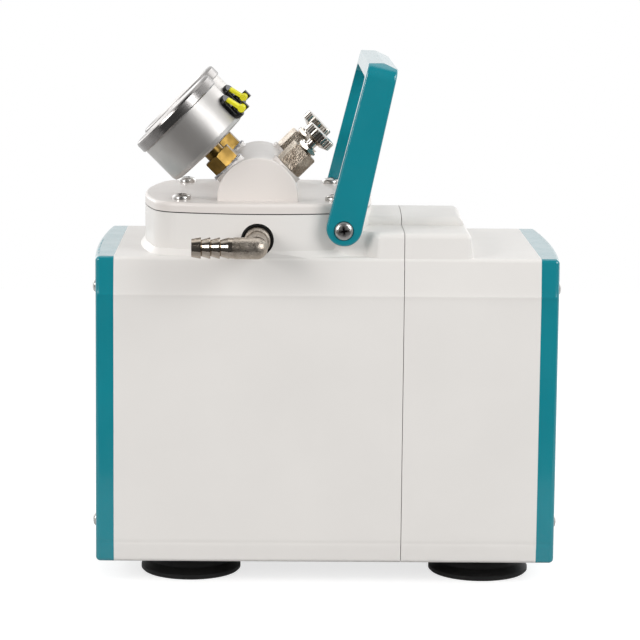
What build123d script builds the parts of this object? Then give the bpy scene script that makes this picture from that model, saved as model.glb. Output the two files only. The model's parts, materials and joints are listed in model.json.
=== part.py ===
"""Tabletop diaphragm vacuum pump, modelled in millimetres.

X runs from the pump end (-) to the motor end (+), Y from the front to the rear, Z up from the table.
The origin is on the table, under the middle of the housing.
"""
from build123d import *
import os
from math import acos, asin, cos, degrees, pi, radians, sin, sqrt, tan

os.makedirs("parts", exist_ok=True)

# ---------------------------------------------------------------- driving sizes
# housing
shell_half_length = 103.8      # middle of the pump to the face that an end panel sits on
shell_half_depth = 62.0
shell_bottom = 11.7
shell_top = 163.0
shell_wall = 3.5
shell_edge_radius = 2.0
shell_foot_rise = 10.0         # the lowest stretch of the sides leans in
shell_foot_lean = 1.0
shell_shoulder_drop = 18.5     # the highest stretch of the sides leans in
shell_shoulder_lean = 2.0
split_x = 37.2                 # joint between the pump-end and the motor-end shell
joint_lip = 1.6
seam_gap = 0.3

# raised motor cover on top of the shells
hump_end_x = 70.8
hump_rise = 12.0
hump_side_step = 2.5           # shell's side to the raised cover's side
hump_draft = 5.0               # degrees
hump_edge_radius = 3.0
hump_step = 6.0                # length of the slant from the neck out to the full depth
crown_half_depth = 25.0
crown_rise = 6.0
crown_end_inset = 1.8
crown_edge_radius = 3.6

# end panels
panel_edge = 8.7               # thickness at the front and rear edges
panel_crown = 2.5              # further thickness in the middle
panel_edge_radius = 2.2
panel_lip = 4.0                # how far the locating lip reaches into the shell
panel_screw_margin = 15.0      # shell's side to the panel screws
panel_screw_low = 30.0
panel_screw_high = 147.0
panel_screw_head = 7.0
panel_screw_shank = 4.0
panel_screw_head_height = 2.4
panel_screw_sink = 1.2         # seat of the head below the panel's face
vent_slot_width = 3.2

# pump head
head_x = -34.3
head_half_length = 57.1
head_side_step = 3.0           # shell's side to the head's side
head_side_bulge = 9.0          # how far the sides bow out between the corners
head_corner_radius = 17.0
head_rise = 20.5               # shell's top to the joint face under the cover
head_foot_radius = 3.0
cover_screw_shank = 4.0
gasket_thickness = 0.5
cover_thickness = 4.7
cover_edge_radius = 1.8
ridge_radius = 19.9
ridge_axis_rise = 1.3          # axis of the ridge above the top of the cover plate
ridge_half_length = 46.0
ridge_bore = 10.0
dish_depth = 2.0               # where the hollow meets the ridge
dish_radius = 67.6
dish_reach = 39.0
cover_screw_x = 37.5
cover_screw_margin = 19.5      # head's side to the cover screws
cover_screw_head = 9.0
cover_screw_height = 2.8
ridge_end_radius = 0.8
boss_radius = 8.4              # round boss under each fitting

# handle
pivot_x = 7.5
pivot_z = 176.3
handle_lean = 13.0
handle_step = 5.8              # shell's side to the inside of the handle
handle_thickness = 5.3
handle_foot_width = 17.5
handle_foot_drop = 7.6         # pivot to the foot's end
handle_top_width = 14.7
handle_rise = 81.4
handle_gable = 1.6
handle_bar_depth = 9.0
handle_corner_radius = 8.0
handle_inner_radius = 5.0
handle_edge_radius = 1.2
handle_screw_shank = 5.0
handle_screw_head = 9.0
handle_screw_height = 2.7
handle_boss_radius = 7.0
handle_screw_sink = 1.0

# hose elbows
port_bore = 16.0
port_drop = 12.2               # port axis below the joint face
port_socket_depth = 7.0        # head's side to the seat of the elbow's collar
port_thread = 10.0
port_thread_depth = 13.5       # head's side to the end of the thread
passage_depth = 11.0           # head's side to the passage up to the cover
passage_radius = 2.0
port_collar = 12.6
elbow_reach = 26.0             # head's side to the elbow's axis
elbow_width = 10.4
elbow_block_length = 10.6      # elbow axis to the foot of the barbs
collar_proud = 7.0
elbow_drop = 0.6               # barb axis below the port axis
barb_count = 4
barb_pitch = 4.5
barb_crest = 10.1
barb_root = 7.8
barb_stem = 9.8                # plain stretch between the block and the first barb
collar_chamfer = 0.9
barb_tip = 8.6
barb_reach = 31.0              # elbow axis to the tip of the barbs
hose_bore = 4.5

# gauges and valves, set along the ridge
fitting_y = 36.0
fitting_tilt = 45.0
spot_face_radius = 20.7        # flat that a fitting seats on, from the ridge axis
fitting_thread = 9.0
fitting_thread_start = 8.0     # inner end of the thread, from the ridge axis
washer_thickness = 0.8
gauge_hex = 14.0
gauge_hex_length = 7.5
gauge_neck = 9.5
gauge_neck_end = 33.4
case_diameter = 46.6
case_length = 21.0
bezel_step = 1.05              # case's side to the bezel's side
bezel_length = 6.0
bezel_lip = 3.6
lens_thickness = 1.8
bezel_rim = 1.2                # rolled edge in front of the lens
case_wall = 1.2
dial_thickness = 0.8
dial_depth = 4.5               # lens back to dial face
pointer_thickness = 0.4
pointer_hub = 2.6
gauge_pin = 0.8

# vent plug and its lever
vent_length = 14.0
vent_width = 8.6
vent_height = 3.0
vent_place = 7.6               # from the back of the case
vent_turn = 22.0               # round the case towards the front
lever_length = 8.5
lever_width = 2.6
lever_height = 1.7
lever_hub = 1.8
lever_x = -4.0                 # lever's pin, from the middle of the plug
lever_z = 4.8
lever_pin = 1.2
lever_droop = 15.0
ear_y = -0.6                   # face of the ear that the lever lies on
ear_thickness = 1.4

# needle valves
valve_hex = 13.0
valve_hex_length = 11.6
gland_hex = 9.5
gland_length = 3.7
spindle_diameter = 5.0
knob_diameter = 16.0
knob_rim = 4.6
knob_cone = 1.5
knob_gap = 2.4                 # gland nut to the underside of the knob at rest
knob_flutes = 30
flute_width = 1.1
valve_turn = 15.0              # hexagon about its axis

# feet
foot_radius = 25.0
foot_lip = 3.0
foot_neck_radius = 20.0
foot_y = 27.0
foot_left_x = -67.0
foot_right_x = 78.0
foot_well = 4.5                # depth of the screw's well
foot_screw_height = 2.6
foot_screw_head = 9.0
foot_screw_shank = 4.0

# drive line
shaft_z = 96.0
shaft_diameter = 10.0
crank_throw = 3.0
crank_journal = 24.0
counterweight_radius = 24.0
big_end_outer = 36.0
rod_eye = 22.0
rod_width = 12.0
motor_radius = 52.0
motor_left_x = -6.0
core_left_x = 10.0
core_right_x = 58.0
motor_right_x = 74.0
bell_wall = 3.0
bell_spigot_radius = 17.0
bulkhead_thickness = 4.0
rotor_radius = 27.0
air_gap = 0.5
bearing_outer = 26.0
bearing_width = 8.0
fan_radius = 44.0
fan_width = 12.0
fan_blades = 9
fan_x = 80.0
capacitor_radius = 12.5
capacitor_length = 40.0
capacitor_x = 43.0

# pumping chamber
plate_radius = 41.0
plate_thickness = 8.5
diaphragm_radius = 41.0
diaphragm_thickness = 2.5
clamp_radius = 20.0
clamp_thickness = 1.7
chamber_radius = 34.0
plate_roof = 3.0               # metal left above the coned roof
plate_port = 8.0
reed_x = 14.0
reed_radius = 6.5
clamp_stud = 6.0

# electrics on the motor-end panel
inlet_width = 27.5
inlet_height = 20.0
inlet_y = 22.0
inlet_z = 34.0
inlet_flange_x = 9.2           # flange seat above the panel's own seat
switch_flange_x = 7.2
switch_y = -22.0
switch_z = 34.0
switch_width = 13.0
switch_height = 19.2
inlet_flange = 1.5
inlet_depth = 22.0
socket_depth = 17.0
pin_sink = 5.0                 # ends of the pins below the flange
switch_flange = 1.5
rocker_width = 10.8
rocker_length = 16.4
rocker_room = 0.75
rocker_well = 9.0
rocker_pivot = 2.5             # pin below the flange
rocker_pin = 2.0
rocker_tilt = 8.0

# clearances
fit = 0.3                      # between pieces that move past each other
shaft_fit = 0.05               # radial, in a bearing or a hinge

# places worked out from the sizes above
hump_half_depth = shell_half_depth - hump_side_step
head_half_depth = shell_half_depth - head_side_step
handle_inner_y = shell_half_depth - handle_step
panel_screw_y = shell_half_depth - panel_screw_margin
cover_screw_y = head_half_depth - cover_screw_margin
port_floor_y = head_half_depth - port_socket_depth
port_thread_end_y = head_half_depth - port_thread_depth
passage_y = head_half_depth - passage_depth
elbow_axis_y = head_half_depth + elbow_reach
head_top = shell_top + head_rise
bezel_radius = case_diameter / 2 + bezel_step
cover_bottom = head_top + gasket_thickness
cover_top = cover_bottom + cover_thickness
ridge_z = cover_top + ridge_axis_rise
port_z = head_top - port_drop
barb_z = port_z - elbow_drop
hex_start = spot_face_radius + washer_thickness
rim_z = gauge_neck_end + case_length + bezel_length - bezel_rim - lens_thickness
dial_z = rim_z - dial_depth
gland_end = spot_face_radius + valve_hex_length + gland_length
spindle_end = gland_end + knob_gap + knob_cone + 1.5
seam_left = split_x - seam_gap / 2
seam_right = split_x + seam_gap / 2
inside_floor = shell_bottom + shell_wall
crank_z = shaft_z - crank_throw
diaphragm_middle = head_top - plate_thickness - diaphragm_thickness - crank_throw + 0.5
foot_places = [(x, y) for x in (foot_left_x, foot_right_x) for y in (-foot_y, foot_y)]
panel_screw_places = [(y, z) for y in (-panel_screw_y, panel_screw_y)
                      for z in (panel_screw_low, panel_screw_high)]
cover_screw_places = [(x, y) for x in (-cover_screw_x, cover_screw_x)
                      for y in (-cover_screw_y, cover_screw_y)]


# ---------------------------------------------------------------- shared shapes
def save(node, *shapes):
    """Write a sub-part's STEP file, as one solid or as a group of separate solids."""
    solids = [solid for shape in shapes for solid in shape.solids()]
    export_step(solids[0] if len(solids) == 1 else Compound(solids), f"parts/{node}.step")


def rod(radius, low, high):
    """Cylinder along Z from one height to another."""
    return Pos(0, 0, low) * Cylinder(radius, high - low, align=(Align.CENTER, Align.CENTER, Align.MIN))


def tube(outer, inner, low, high):
    """Ring along Z with a bore."""
    return rod(outer, low, high) - rod(inner, low, high)


def hexagon(across_flats, low, high):
    """Six-sided bar along Z, with its corners turned off at both ends."""
    blank = extrude(Pos(0, 0, low) * RegularPolygon(across_flats / 2, 6, major_radius=False), high - low)
    corner = across_flats / 2 / cos(pi / 6)
    rounding = turned([(0, low), (corner - 0.7, low), (corner, low + 0.5), (corner, high - 0.5),
                       (corner - 0.7, high), (0, high)])
    return blank & rounding


def turned(points):
    """Solid of revolution about Z from an outline of (radius, height) points."""
    outline = Polyline(*[(radius, 0, height) for radius, height in points], close=True)
    return revolve(make_face(outline), Axis.Z)


def box_between(low, high):
    """Box from its lowest to its highest corner."""
    size = [b - a for a, b in zip(low, high)]
    return Pos(*low) * Box(*size, align=(Align.MIN, Align.MIN, Align.MIN))


def along_x(face, start, end):
    """Extrude a face drawn in (Y, Z) from one X to another."""
    return extrude(Plane.YZ.offset(start) * face, end - start)


def aimed_x(shape, x, y, z, turn=1):
    """Lay a shape that was made along Z so that it points along +X (or -X for turn -1)."""
    return Pos(x, y, z) * Rot(0, 90 * turn, 0) * shape


def aimed_y(shape, x, y, z, side):
    """Lay a shape that was made along Z so that it points to the rear (side 1) or the front (-1)."""
    return Pos(x, y, z) * Rot(-90 * side, 0, 0) * shape


def cross_slot(head_radius, top):
    """Cross recess in the top of a screw head that points along +Z."""
    arm = Box(head_radius * 1.0, head_radius * 0.27, 1.6, align=(Align.CENTER, Align.CENTER, Align.MAX))
    return Pos(0, 0, top) * (arm + Rot(0, 0, 90) * arm)


def pan_screw(head_diameter, head_height, shank_diameter, length):
    """Cross-recess pan-head screw along Z: head above z = 0, shank below."""
    radius = head_diameter / 2
    head = turned([(0, 0), (radius, 0), (radius, head_height * 0.45), (radius * 0.86, head_height * 0.8),
                   (radius * 0.55, head_height), (0, head_height)])
    return head - cross_slot(radius, head_height) + rod(shank_diameter / 2, -length, 0)


# ---------------------------------------------------------------- housing
def housing_outline(inset=0.0):
    """Section across the housing, in (Y, Z), at a depth inside the outer surface."""
    half = shell_half_depth
    right = [(half - shell_foot_lean, shell_bottom), (half, shell_bottom + shell_foot_rise),
             (half, shell_top - shell_shoulder_drop), (half - shell_shoulder_lean, shell_top)]
    left = [(-y, z) for y, z in reversed(right)]
    face = make_face(Polyline(*right, *left, close=True))
    if inset:
        face = offset(face, -inset, kind=Kind.INTERSECTION)
    rows = face.vertices().group_by(Axis.Y)
    return fillet(rows[0] + rows[-1], max(shell_edge_radius - inset, 0.6))


def hump_blank(inset=0.0):
    """Raised cover over the motor: wide past the handle, with a neck between the handle's feet."""
    neck_y = handle_inner_y - 2.2 - inset
    wide_y = hump_half_depth - inset
    shoulder_x = pivot_x + handle_foot_width / 2 + 2.0 + inset
    end_x = hump_end_x - inset
    front = [(head_x + 25, -neck_y), (shoulder_x, -neck_y), (shoulder_x + hump_step, -wide_y), (end_x, -wide_y)]
    rear = [(x, -y) for x, y in reversed(front)]
    plan = make_face(Polyline(*front, *rear, close=True))
    corners = plan.vertices().sort_by(Axis.X)[2:]
    plan = fillet(corners, 3.0)
    block = extrude(Pos(0, 0, shell_top - 1 - inset) * plan, hump_rise + 1, taper=hump_draft)
    if inset:
        return block
    return fillet(block.faces().sort_by(Axis.Z)[-1].edges(), hump_edge_radius)


def crown_bar():
    """Rounded bar that runs along the middle of the raised cover."""
    foot = shell_top + hump_rise - 2
    top = shell_top + hump_rise + crown_rise
    side = top - 2.3
    section = make_face(Polyline((-crown_half_depth, side), (-crown_half_depth, foot),
                                 (crown_half_depth, foot), (crown_half_depth, side))
                        + ThreePointArc((crown_half_depth, side), (0, top), (-crown_half_depth, side)))
    bar = along_x(section, head_x + 25, hump_end_x - crown_end_inset - 1)
    end_face = bar.faces().sort_by(Axis.X)[-1]
    long_edges = bar.edges().filter_by(Axis.X).group_by(Axis.Z)[-1]
    return fillet(long_edges + end_face.edges().sort_by(Axis.Z)[-1:], crown_edge_radius)


def head_outline(grow=0.0):
    """Rounded square of the pump head, its four sides bowed out, centred on the origin."""
    long_side = head_half_depth + grow
    short_side = head_half_length + grow
    corner_x = short_side - head_side_bulge
    corner_y = long_side - head_side_bulge
    outline = (ThreePointArc((-corner_x, -corner_y), (0, -long_side), (corner_x, -corner_y))
               + ThreePointArc((corner_x, -corner_y), (short_side, 0), (corner_x, corner_y))
               + ThreePointArc((corner_x, corner_y), (0, long_side), (-corner_x, corner_y))
               + ThreePointArc((-corner_x, corner_y), (-short_side, 0), (-corner_x, -corner_y)))
    face = make_face(outline)
    return fillet(face.vertices(), head_corner_radius)


def head_base():
    """Block of the pump head, cast on the shell, with its flared foot and the handle's bosses."""
    block = extrude(Pos(head_x, 0, shell_top - 2) * head_outline(), head_top - shell_top + 2)
    flare = extrude(Pos(head_x, 0, shell_top - 1) * head_outline(head_foot_radius), head_foot_radius + 1,
                    taper=38)
    widest = shell_half_depth - shell_shoulder_lean - 0.4
    flare = flare & box_between((-shell_half_length, -widest, 0), (shell_half_length, widest, head_top))
    bosses = [aimed_y(rod(handle_boss_radius, 0, handle_inner_y - fit - 44), pivot_x, side * 44, pivot_z, side)
              for side in (-1, 1)]
    return block + flare + bosses


def port_cuts():
    """Ports in the front and rear of the head: socket, threaded bore and the passage up to the cover."""
    cuts = []
    for side in (-1, 1):
        socket = rod(port_bore / 2, port_floor_y, head_half_depth + 5)
        thread = rod(port_thread / 2, port_thread_end_y, port_floor_y)
        cuts.append(aimed_y(socket + thread, head_x, 0, port_z, side))
        cuts.append(Pos(head_x, side * passage_y, 0) * rod(passage_radius, port_z, head_top))
    return cuts


def chamber_cuts():
    """Stepped bore of the pumping chamber: pocket for the valve plate and diaphragm, then the crankcase."""
    pocket = rod(plate_radius, head_top - plate_thickness - diaphragm_thickness, head_top)
    crankcase = rod(chamber_radius, inside_floor + 60, head_top)
    return Pos(head_x, 0, 0) * (pocket + crankcase)


def cover_screw_holes(low, high):
    """Four holes for the cover screws."""
    return [Pos(head_x + x, y, 0) * rod(cover_screw_shank / 2, low, high) for x, y in cover_screw_places]


def foot_screw_holes(low_x, high_x):
    """Holes in the housing floor for the foot screws between two places along the pump."""
    return [Pos(x, y, 0) * rod(foot_screw_shank / 2, shell_bottom - 1, inside_floor + 1)
            for x, y in foot_places if low_x < x < high_x]


def bulkhead():
    """Wall across the pump-end shell that the motor is flanged to."""
    wall = along_x(housing_outline(shell_wall - 0.5), motor_left_x - bulkhead_thickness, motor_left_x)
    return wall - aimed_x(rod(bell_spigot_radius, -30, 30), motor_left_x, 0, shaft_z)


def panel_screw_posts(end):
    """Posts inside the housing's end that the panel screws are driven into."""
    posts = []
    for y, z in panel_screw_places:
        outer = shell_half_depth - shell_wall / 2
        reach = (y, outer) if y > 0 else (-outer, y)
        start, stop = sorted((end * (shell_half_length - panel_lip - 14), end * (shell_half_length - panel_lip)))
        web = box_between((start, reach[0], z - 3.5), (stop, reach[1], z + 3.5))
        post = aimed_x(rod(4.5, start, stop), 0, y, z)
        hole = aimed_x(rod(panel_screw_shank / 2, start, stop), 0, y, z)
        posts.append(web + post - hole)
    return posts


def left_shell():
    """Pump-end shell: housing, head block, crankcase bore and the motor bulkhead, in one casting."""
    outside = along_x(housing_outline(), -shell_half_length, seam_left) + head_base()
    outside += (hump_blank() + crown_bar()) & box_between((head_x, -100, 0), (seam_left, 100, 300))
    inside = along_x(housing_outline(shell_wall), -shell_half_length, seam_left)
    inside += hump_blank(shell_wall) & box_between((head_x + 58, -100, 0), (seam_left, 100, 300))
    shell = outside - inside - chamber_cuts() - port_cuts()
    shell = shell - cover_screw_holes(head_top - 14, head_top) - foot_screw_holes(-200, seam_left)
    tongue = along_x(housing_outline(shell_wall) - housing_outline(shell_wall + joint_lip),
                     seam_left - 5, seam_left + 5)
    tongue = tongue & box_between((-200, -100, 0), (200, 100, shell_top - shell_shoulder_drop))
    shell = shell + tongue + bulkhead() + panel_screw_posts(-1)
    for side in (-1, 1):
        shell -= aimed_y(rod(handle_screw_shank / 2, 0, 30), pivot_x, side * (handle_inner_y - 14), pivot_z, side)
    return shell


def right_shell():
    """Motor-end shell, open at its end for the motor and the fan."""
    outside = along_x(housing_outline(), seam_right, shell_half_length)
    beyond_seam = box_between((seam_right, -100, 0), (200, 100, 300))
    outside += (hump_blank() + crown_bar()) & beyond_seam
    inside = along_x(housing_outline(shell_wall), seam_right, shell_half_length)
    inside += hump_blank(shell_wall) & beyond_seam
    shell = outside - inside - foot_screw_holes(seam_right, 200)
    return shell + panel_screw_posts(1)


# ---------------------------------------------------------------- end panels
def panel_blank():
    """End panel along +X from its seat: bowed outer face, rounded edges and a locating lip behind."""
    half = shell_half_depth + 1
    edge = panel_edge - panel_crown * (2 * half / shell_half_depth - 2)
    plan = make_face(Polyline((edge, -half), (-panel_lip - 1, -half), (-panel_lip - 1, half), (edge, half))
                     + ThreePointArc((edge, half), (panel_edge + panel_crown, 0), (edge, -half)))
    body = along_x(housing_outline(), 0, panel_edge + panel_crown + 1) & extrude(plan, 200)
    outer_face = body.faces().sort_by(Axis.X)[-1]
    body = fillet(outer_face.edges(), panel_edge_radius)
    body -= along_x(housing_outline(shell_wall + 2), 0, panel_edge - 3.2)
    lip = along_x(housing_outline(shell_wall) - housing_outline(shell_wall + 2), -panel_lip, 1)
    pads = [aimed_x(rod(5.5, 0, panel_edge - 3), 0, y, z) for y, z in panel_screw_places]
    pads += [aimed_x(rod(4.5, -panel_lip, 0), 0, y, z) for y, z in panel_screw_places]
    return body + lip + (pads[0] + pads[1:])


def panel_face_x(y):
    """Height of the bowed face above the panel's seat at a distance from its middle."""
    return panel_edge + panel_crown * (1 - (y / shell_half_depth) ** 2)


def vent_slots(rows, pitch, centre_z, radius):
    """Level cooling slots that fill a circle."""
    slots = []
    for row in range(rows):
        offset_z = (row - (rows - 1) / 2) * pitch
        length = 2 * sqrt(radius ** 2 - offset_z ** 2)
        slots.append(along_x(Pos(0, centre_z + offset_z) * SlotOverall(length, vent_slot_width), -1, 20))
    return slots


def screw_seats():
    """Holes and flat seats for the panel screws."""
    cuts = []
    for y, z in panel_screw_places:
        cuts.append(aimed_x(rod(panel_screw_shank / 2, -panel_lip - 1, 20), 0, y, z))
        cuts.append(aimed_x(rod(panel_screw_head / 2 + 0.3, panel_seat(y), 20), 0, y, z))
    return cuts


def panel_seat(y):
    """Height of the flat that a panel screw's head seats on."""
    return panel_face_x(y) - panel_screw_sink


def left_end_panel():
    """Pump-end panel with a small group of outlet slots."""
    panel = panel_blank() - screw_seats() - vent_slots(5, 8.0, shaft_z, 24)
    return mirror(Pos(shell_half_length, 0, 0) * panel, about=Plane.YZ)


def right_end_panel():
    """Motor-end panel with the fan's inlet slots, the mains inlet and the switch."""
    panel = panel_blank() - screw_seats() - vent_slots(9, 8.0, shaft_z, fan_radius - 2)
    for y, z, width, height, flange_x in (
            (inlet_y, inlet_z, inlet_width, inlet_height, inlet_flange_x),
            (switch_y, switch_z, switch_width, switch_height, switch_flange_x)):
        panel -= box_between((-1, y - width / 2, z - height / 2), (20, y + width / 2, z + height / 2))
        rim = 3.0 + fit
        panel -= box_between((flange_x, y - width / 2 - rim, z - height / 2 - rim),
                             (20, y + width / 2 + rim, z + height / 2 + rim))
    return Pos(shell_half_length, 0, 0) * panel


def panel_screws():
    """Pan-head screws of both end panels."""
    screws = []
    for y, z in panel_screw_places:
        screw = pan_screw(panel_screw_head, panel_screw_head_height, panel_screw_shank,
                          panel_seat(y) + panel_lip + 10)
        right = aimed_x(screw, shell_half_length + panel_seat(y), y, z)
        screws += [right, mirror(right, about=Plane.YZ)]
    return screws


# ---------------------------------------------------------------- head cover
def dish(side):
    """Shallow hollow beside the ridge: deepest at the ridge, fading out along an arc."""
    centre_x = side * (dish_reach - dish_radius)
    from_centre = ridge_radius + dish_radius - dish_reach
    height = (dish_radius ** 2 - from_centre ** 2) / (2 * dish_depth)
    ball = Pos(head_x + centre_x, 0, cover_top + height) * Sphere(sqrt(dish_radius ** 2 + height ** 2))
    inner, outer = sorted((side * (ridge_radius - 1), side * (dish_reach + 5)))
    return ball & box_between((head_x + inner, -head_half_depth, cover_bottom),
                              (head_x + outer, head_half_depth, cover_top + 1))


def ridge():
    """Half-round ridge along the cover that holds the gallery and the fittings."""
    section = make_face(Polyline((-ridge_radius, ridge_z), (-ridge_radius, cover_bottom + 1),
                                 (ridge_radius, cover_bottom + 1), (ridge_radius, ridge_z))
                        + ThreePointArc((ridge_radius, ridge_z), (0, ridge_z + ridge_radius),
                                        (-ridge_radius, ridge_z)))
    bar = extrude(Plane.XZ.offset(-ridge_half_length) * section, 2 * ridge_half_length)
    end_arcs = bar.edges().filter_by(GeomType.CIRCLE)
    return Pos(head_x, 0, 0) * fillet(end_arcs, ridge_end_radius)


def fitting_place(y, side):
    """Frame of a fitting: origin on the ridge's axis, Z out along the fitting (side 1 leans to +X)."""
    lean = radians(fitting_tilt)
    return Plane(origin=(head_x, y, ridge_z), x_dir=(0, side, 0), z_dir=(side * sin(lean), 0, cos(lean))).location


def fitting_places():
    """Frames of the two gauges (leaning to -X) and the two valves (leaning to +X)."""
    return [fitting_place(y, side) for y in (-fitting_y, fitting_y) for side in (-1, 1)]


def head_cover():
    """Cover plate with its ridge, fitting bosses, gallery and hollows."""
    plate = extrude(Pos(head_x, 0, cover_bottom) * head_outline(), cover_thickness)
    plate = fillet(plate.faces().sort_by(Axis.Z)[-1].edges(), cover_edge_radius)
    cover = plate - dish(-1) - dish(1) + ridge()
    cover += [place * rod(boss_radius, 12, spot_face_radius) for place in fitting_places()]
    cover -= [place * rod(fitting_thread / 2, fitting_thread_start, 30) for place in fitting_places()]
    cover -= aimed_y(rod(ridge_bore / 2, -fitting_y - 3, fitting_y + 3), head_x, 0, ridge_z, 1)
    for side in (-1, 1):
        rise = ridge_z - cover_bottom
        run = passage_y - fitting_y + 1
        slope = degrees(acos(rise / sqrt(rise ** 2 + run ** 2)))
        drill = Rot(side * slope, 0, 0) * rod(passage_radius, -3, sqrt(rise ** 2 + run ** 2))
        cover -= Pos(head_x, side * passage_y, cover_bottom) * drill & box_between(
            (-200, -100, cover_bottom), (200, 100, 300))
    return cover - cover_screw_holes(cover_bottom - 1, cover_top + 1)


def head_gasket():
    """Thin rubber gasket between the head block and the cover."""
    sheet = extrude(Pos(head_x, 0, head_top) * head_outline(-0.4), gasket_thickness)
    sheet -= Pos(head_x, 0, 0) * rod(plate_radius - 4, head_top - 1, cover_top)
    sheet -= [Pos(head_x, side * passage_y, 0) * rod(passage_radius, head_top - 1, cover_top) for side in (-1, 1)]
    return sheet - cover_screw_holes(head_top - 1, cover_top)


def head_cover_screws():
    """Four cross-recess screws that hold the cover down."""
    screw = pan_screw(cover_screw_head, cover_screw_height, cover_screw_shank,
                      cover_thickness + gasket_thickness + 12)
    return [Pos(head_x + x, y, cover_top) * screw for x, y in cover_screw_places]


# ---------------------------------------------------------------- handle
def handle():
    """U-shaped carrying handle: side view and end view crossed, leant to its rest."""
    outer_y = handle_inner_y + handle_thickness
    foot = handle_foot_width / 2
    top = handle_top_width / 2
    taper = asin((foot - top) / handle_rise)
    side = (foot * cos(taper), foot * sin(taper) + foot - handle_foot_drop)
    side_view = make_face(Polyline((-side[0], side[1]), (-top, handle_rise), (0, handle_rise + handle_gable),
                                   (top, handle_rise), side)
                          + ThreePointArc(side, (0, -handle_foot_drop), (-side[0], side[1])))
    solid = extrude(Plane.XZ.offset(-outer_y) * side_view, 2 * outer_y)
    peak = handle_rise + handle_gable
    end_view = Pos(0, peak / 2 - foot) * Rectangle(2 * outer_y, peak + 2 * foot)
    end_view = fillet(end_view.vertices().group_by(Axis.Y)[-1], handle_corner_radius)
    solid = solid & extrude(Plane.YZ.offset(-foot - 1) * end_view, 2 * foot + 2)
    outer_faces = solid.faces().filter_by(Axis.Y)
    solid = fillet([edge for face in outer_faces for edge in face.edges()], handle_edge_radius)
    window_top = peak - handle_bar_depth
    window = Pos(0, window_top / 2 - foot) * Rectangle(2 * handle_inner_y, window_top + 2 * foot + 1)
    window = fillet(window.vertices().group_by(Axis.Y)[-1], handle_inner_radius)
    solid -= extrude(Plane.YZ.offset(-foot - 1) * window, 2 * foot + 2)
    for end in (-1, 1):
        solid -= aimed_y(rod(handle_screw_shank / 2 + shaft_fit, 40, 80), 0, 0, 0, end)
        solid -= aimed_y(rod(handle_screw_head / 2 + fit, outer_y - handle_screw_sink, 80), 0, 0, 0, end)
    return Pos(pivot_x, 0, pivot_z) * Rot(0, handle_lean, 0) * solid


def handle_screws():
    """The two screws that the handle turns on."""
    seat = handle_inner_y + handle_thickness - handle_screw_sink + 0.1
    screw = pan_screw(handle_screw_head, handle_screw_height, handle_screw_shank, seat - handle_inner_y + 14)
    return [aimed_y(screw, pivot_x, side * seat, pivot_z, side) for side in (-1, 1)]


# ---------------------------------------------------------------- hose elbows
def barbs():
    """Hose barbs along +Z from the elbow's axis: teeth that flare towards the elbow."""
    start = barb_reach - barb_count * barb_pitch
    outline = [(0, 0), (barb_stem / 2, 0), (barb_stem / 2, start)]
    for tooth in range(barb_count):
        foot = start + tooth * barb_pitch
        front = barb_tip / 2 if tooth == barb_count - 1 else barb_root / 2
        outline += [(barb_crest / 2, foot), (barb_crest / 2, foot + 0.6), (front, foot + barb_pitch)]
    outline.append((0, barb_reach))
    return turned(outline)


def hose_elbow(side):
    """Nickel-plated elbow: thread and collar in the port, block at the corner, barbs towards -X."""
    leg = rod(port_thread / 2, port_thread_end_y, elbow_axis_y)
    face = head_half_depth + collar_proud
    leg += turned([(0, port_floor_y), (port_collar / 2, port_floor_y), (port_collar / 2, face - collar_chamfer),
                   (port_collar / 2 - collar_chamfer, face), (0, face)])
    body = aimed_y(leg, head_x, 0, port_z, side)
    corner = rod(elbow_width / 2, 0, elbow_block_length) + Sphere(elbow_width / 2) + barbs()
    body += aimed_x(corner, head_x, side * elbow_axis_y, barb_z, -1)
    body -= aimed_x(rod(hose_bore / 2, 0, barb_reach + 1), head_x, side * elbow_axis_y, barb_z, -1)
    return body - aimed_y(rod(hose_bore / 2, port_thread_end_y - 1, elbow_axis_y), head_x, 0, port_z, side)


def port_seals():
    """Rubber rings between the collars and the port sockets."""
    section = (port_bore - port_collar) / 4
    ring = Torus(port_collar / 2 + section, section)
    return [aimed_y(Pos(0, 0, head_half_depth - section - 0.4) * ring, head_x, 0, port_z, side)
            for side in (-1, 1)]


# ---------------------------------------------------------------- gauges
def gauge_stem():
    """Brass stem: thread in the ridge, hexagon, neck and the block inside the case."""
    stem = rod(fitting_thread / 2, fitting_thread_start, hex_start)
    stem += hexagon(gauge_hex, hex_start, hex_start + gauge_hex_length)
    stem += rod(gauge_neck / 2, hex_start + gauge_hex_length, gauge_neck_end + 5)
    return stem - rod(2.0, fitting_thread_start - 1, hex_start)


def fitting_washer():
    """Soft washer under a gauge's hexagon."""
    return tube(gauge_hex / 2 - 0.3, fitting_thread / 2, spot_face_radius, hex_start)


def gauge_case():
    """Pressed steel cup with a raised disc on its back."""
    radius = case_diameter / 2
    neck = gauge_neck / 2
    return turned([(neck, gauge_neck_end - 0.8), (9, gauge_neck_end - 0.8), (9.6, gauge_neck_end),
                   (radius - 2.2, gauge_neck_end), (radius - 0.6, gauge_neck_end + 0.7),
                   (radius, gauge_neck_end + 2.4), (radius, rim_z), (radius - case_wall, rim_z),
                   (radius - case_wall, gauge_neck_end + 3), (radius - 2.6, gauge_neck_end + case_wall),
                   (neck, gauge_neck_end + case_wall)])


def gauge_bezel():
    """Rolled ring that clips over the case and holds the lens, its front face dished inwards."""
    radius = bezel_radius
    inside = case_diameter / 2
    low = gauge_neck_end + case_length
    high = low + bezel_length
    return turned([(inside, low), (radius - 0.5, low), (radius, low + 0.5), (radius, high - 1.4),
                   (radius - 0.4, high - 0.5), (radius - 1.2, high), (inside - bezel_lip + 0.6, high - 0.9),
                   (inside - bezel_lip, rim_z + lens_thickness + 0.1),
                   (inside - bezel_lip, rim_z + lens_thickness), (inside, rim_z + lens_thickness)])


def gauge_lens():
    """Flat window seated on the rim of the case."""
    return rod(case_diameter / 2, rim_z, rim_z + lens_thickness)


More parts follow.
